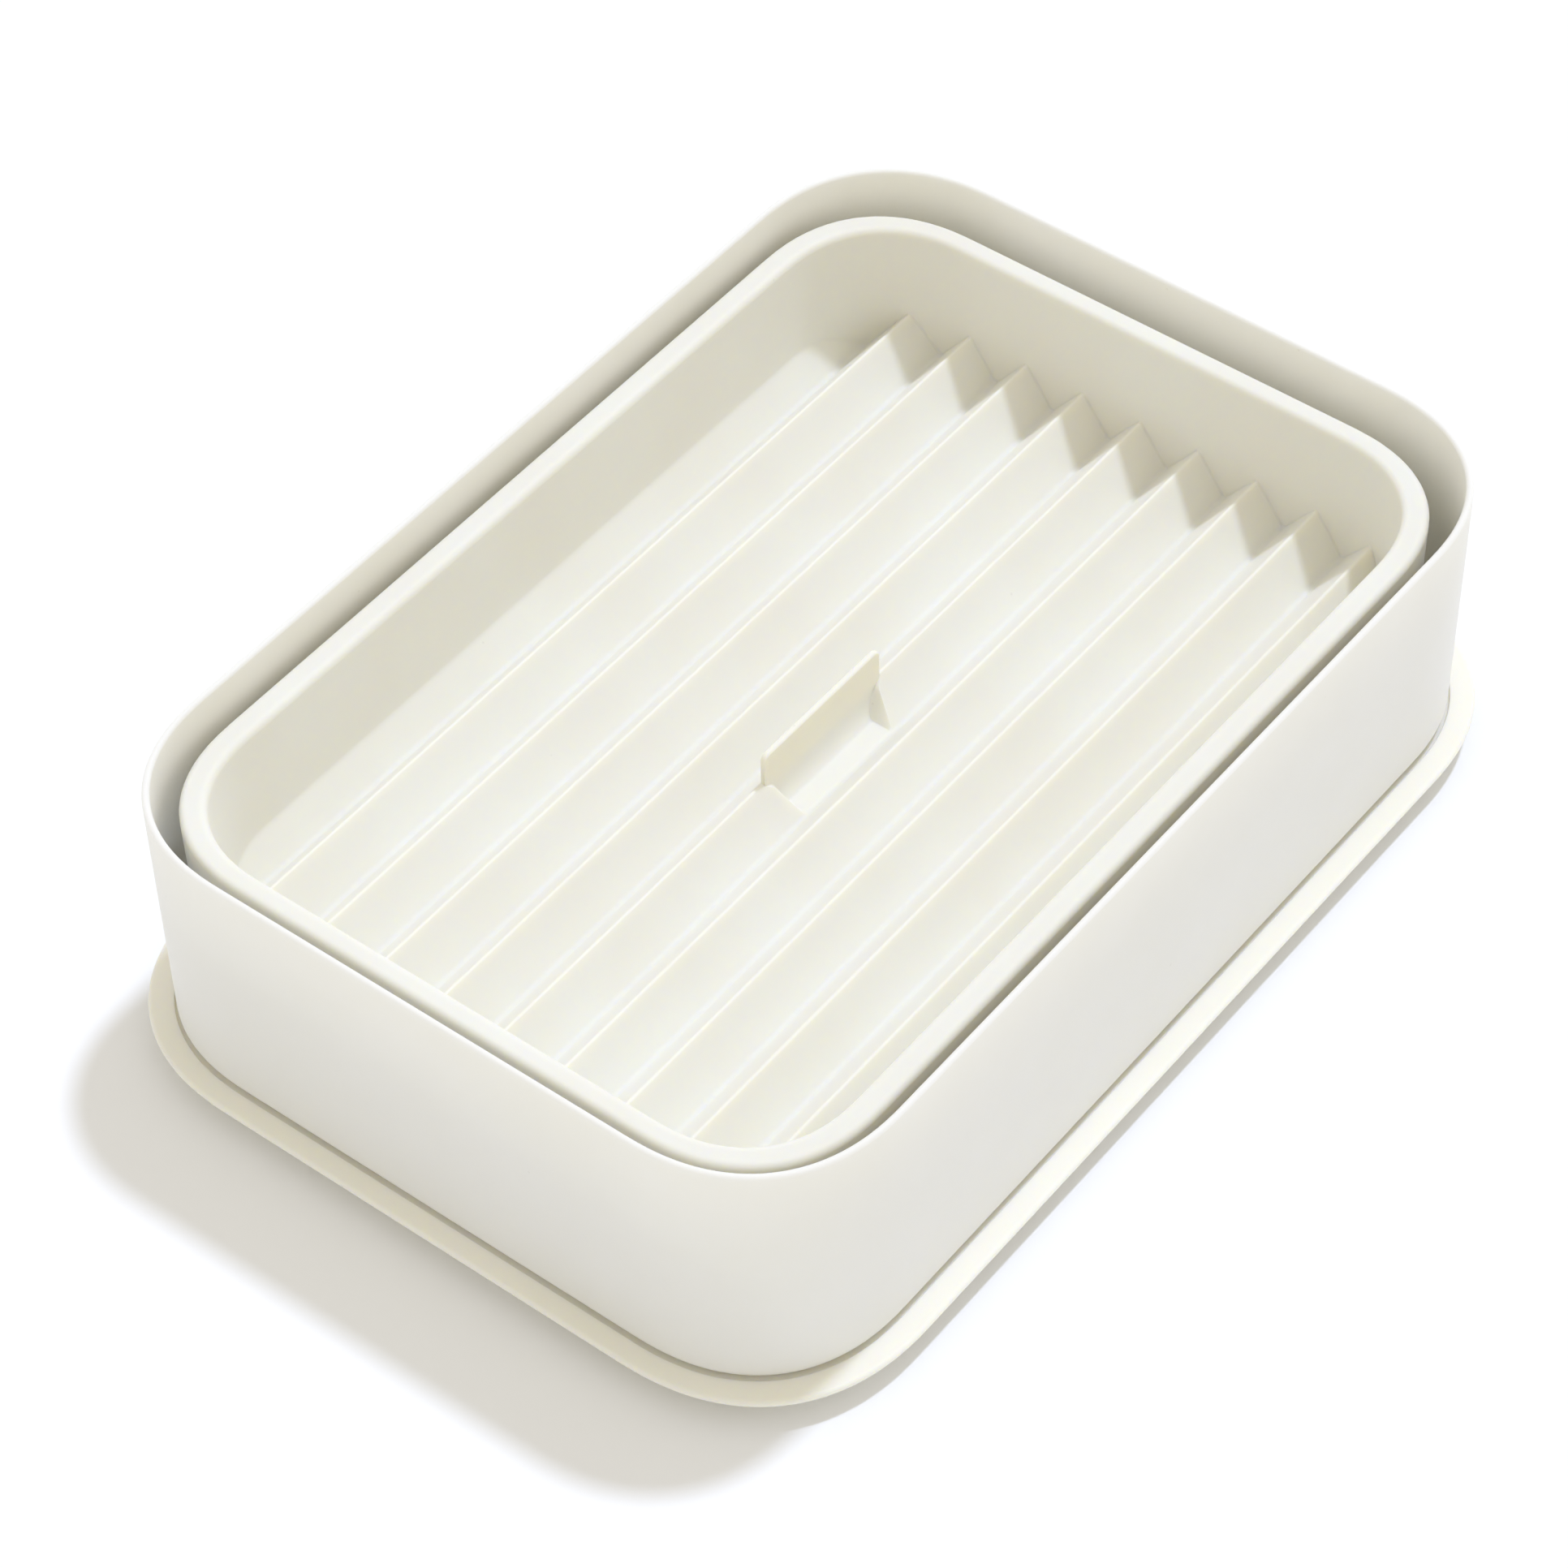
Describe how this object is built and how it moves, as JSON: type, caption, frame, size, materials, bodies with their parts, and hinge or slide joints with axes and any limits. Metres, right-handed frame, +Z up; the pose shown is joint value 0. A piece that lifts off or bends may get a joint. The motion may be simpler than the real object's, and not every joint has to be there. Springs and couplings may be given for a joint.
{
  "type": "drawer insert",
  "caption": "Pleated jewellery tray with a lift tab, standing in a rounded storage bin on its own lid.",
  "frame": {"origin": "on the table at the middle of the lid's footprint", "axes": "+Z up; +Y along the long side and the ridges; +X across the ridges, from the tab's ridge towards its finger pocket"},
  "size_m": [0.2378, 0.3368, 0.0883],
  "materials": {
    "lid_plastic": "satin, warm off-white, finely grained moulded plastic",
    "bin_plastic": "satin, warm off-white, finely grained moulded plastic",
    "tray_plastic": "satin, warm off-white, smooth moulded plastic"
  },
  "bodies": {
    "base": {"base_lid": "lid_plastic"},
    "bin": {"bin": "bin_plastic"},
    "tray": {"insert_tray": "tray_plastic"}
  },
  "joints": [
    {"name": "bin_lift", "type": "slide", "parent": "base", "child": "bin", "axis": [0, 0, 1], "range_m": [0, 0.04]},
    {"name": "tray_lift", "type": "slide", "parent": "bin", "child": "tray", "axis": [0, 0, 1], "range_m": [0, 0.09]}
  ]
}
